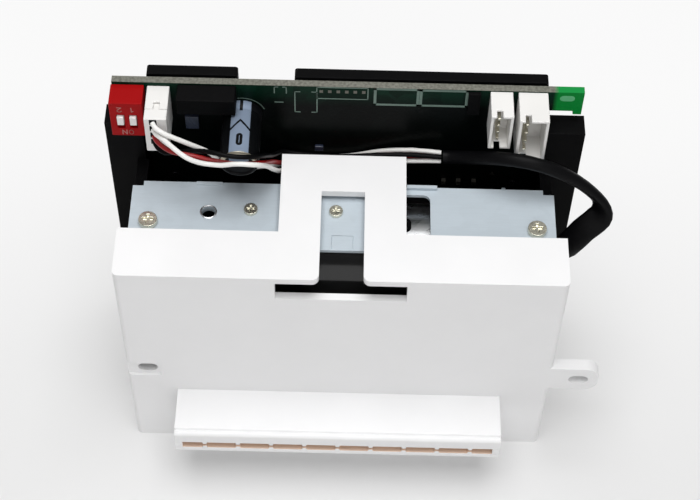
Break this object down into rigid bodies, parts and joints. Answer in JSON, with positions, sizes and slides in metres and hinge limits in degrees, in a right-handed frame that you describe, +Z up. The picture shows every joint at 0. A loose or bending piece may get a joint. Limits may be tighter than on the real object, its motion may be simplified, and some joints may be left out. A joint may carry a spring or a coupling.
{
  "type": "bill validator",
  "caption": "Compact bill validator with a plain front cover, a ribbed note mouth, geared roller pairs along a straight note path and an upright control board.",
  "frame": {"origin": "on the underside, on the middle plane of the front cover, 20 mm behind its front face", "axes": "+X to the right as seen from the front, +Y to the back, along the way a note travels, +Z up"},
  "size_m": [0.1041, 0.0506, 0.0798],
  "materials": {
    "white_plastic": "satin moulded ABS, light grain",
    "black_plastic": "satin black moulded plastic",
    "gloss_black": "polished black sheet",
    "zinc_steel": "blue-white zinc plate over pressed steel",
    "screw_steel": "zinc-plated screws",
    "can_steel": "nickel-plated drawn steel",
    "shaft_steel": "ground steel",
    "brass": "plain brass",
    "board_green": "green solder mask over fibreglass",
    "switch_red": "red moulded plastic",
    "lever_white": "white moulded plastic",
    "connector_white": "natural nylon",
    "pin_metal": "tin-plated pins",
    "capacitor_sleeve": "heat-shrunk sleeve over aluminium",
    "gear_plastic": "natural acetal",
    "tyre_rubber": "soft black rubber",
    "clear_plastic": "clear moulded acrylic",
    "wire_white": "white wire insulation",
    "wire_red": "red wire insulation",
    "wire_black": "black wire insulation",
    "sleeve_black": "soft black sleeving"
  },
  "bodies": {
    "chassis": {"front_cover": "white_plastic", "mouth": "white_plastic", "left_side_frame": "black_plastic", "right_side_frame": "black_plastic", "bottom_cover": "black_plastic", "rear_panel": "black_plastic", "lower_guide": "black_plastic", "guide_rails": "black_plastic", "upper_guide": "black_plastic", "motor_end_cap": "black_plastic", "encoder_sensor": "black_plastic", "relay": "black_plastic", "board_chips": "black_plastic", "front_shield": "gloss_black", "top_bracket": "zinc_steel", "motor_bracket": "zinc_steel", "bracket_screws": "screw_steel", "small_screws": "screw_steel", "case_screws": "screw_steel", "motor_can": "can_steel", "gear_posts": "shaft_steel", "pinch_springs": "shaft_steel", "shaft_bushes": "brass", "main_board": "board_green", "sensor_boards": "board_green", "dip_switch": "switch_red", "lead_header": "connector_white", "lead_plug": "connector_white", "small_header": "connector_white", "large_header": "connector_white", "sensor_header": "connector_white", "sensor_plug": "connector_white", "header_pins": "pin_metal", "capacitor": "capacitor_sleeve", "sensor_lamps": "clear_plastic", "white_wires": "wire_white", "red_wire": "wire_red", "black_wire": "wire_black", "lead_sleeve": "sleeve_black"},
    "front_drive": {"front_shaft": "shaft_steel", "front_hubs": "gear_plastic", "front_tyres": "tyre_rubber", "front_gear": "gear_plastic", "encoder_disc": "black_plastic"},
    "rear_drive": {"rear_shaft": "shaft_steel", "rear_hubs": "gear_plastic", "rear_tyres": "tyre_rubber", "rear_gear": "gear_plastic"},
    "idler": {"idler_gear": "gear_plastic"},
    "compound": {"compound_gear": "gear_plastic"},
    "motor_rotor": {"motor_shaft": "shaft_steel", "motor_pinion": "brass"},
    "front_pinch": {"front_pinch_axle": "shaft_steel", "front_pinch_rollers": "gear_plastic"},
    "rear_pinch": {"rear_pinch_axle": "shaft_steel", "rear_pinch_rollers": "gear_plastic"},
    "flap": {"exit_flap": "gear_plastic"},
    "lever_1": {"dip_lever_1": "lever_white"},
    "lever_2": {"dip_lever_2": "lever_white"}
  },
  "joints": [
    {"name": "front_drive_spin", "type": "hinge", "parent": "chassis", "child": "front_drive", "pos_m": [0, -0.0105, 0.00905], "axis": [1, 0, 0], "continuous": true},
    {"name": "rear_drive_spin", "type": "hinge", "parent": "chassis", "child": "rear_drive", "pos_m": [0, 0.0045, 0.00905], "axis": [1, 0, 0], "continuous": true},
    {"name": "idler_spin", "type": "hinge", "parent": "chassis", "child": "idler", "pos_m": [0, -0.003, 0.02211], "axis": [1, 0, 0], "continuous": true},
    {"name": "compound_spin", "type": "hinge", "parent": "chassis", "child": "compound", "pos_m": [0, -0.00784, 0.03445], "axis": [1, 0, 0], "continuous": true},
    {"name": "motor_spin", "type": "hinge", "parent": "chassis", "child": "motor_rotor", "pos_m": [0, -0.003, 0.0455], "axis": [1, 0, 0], "continuous": true},
    {"name": "front_pinch_spin", "type": "hinge", "parent": "chassis", "child": "front_pinch", "pos_m": [0, -0.0105, 0.01975], "axis": [1, 0, 0], "continuous": true},
    {"name": "rear_pinch_spin", "type": "hinge", "parent": "chassis", "child": "rear_pinch", "pos_m": [0, 0.0045, 0.01975], "axis": [1, 0, 0], "continuous": true},
    {"name": "flap_swing", "type": "hinge", "parent": "chassis", "child": "flap", "pos_m": [0, 0.0094, 0.0204], "axis": [1, 0, 0], "range_deg": [0, 35]},
    {"name": "lever_1_slide", "type": "slide", "parent": "chassis", "child": "lever_1", "axis": [0, 0, 1], "range_m": [-0.0013, 0]},
    {"name": "lever_2_slide", "type": "slide", "parent": "chassis", "child": "lever_2", "axis": [0, 0, 1], "range_m": [-0.0013, 0]}
  ],
  "couplings": [
    {"joint": "rear_drive_spin", "follows": "front_drive_spin", "ratio": 1},
    {"joint": "idler_spin", "follows": "front_drive_spin", "ratio": -0.66667},
    {"joint": "compound_spin", "follows": "front_drive_spin", "ratio": 1.4286},
    {"joint": "motor_spin", "follows": "front_drive_spin", "ratio": -3.3333},
    {"joint": "front_pinch_spin", "follows": "front_drive_spin", "ratio": -1.3333},
    {"joint": "rear_pinch_spin", "follows": "front_drive_spin", "ratio": -1.3333}
  ]
}
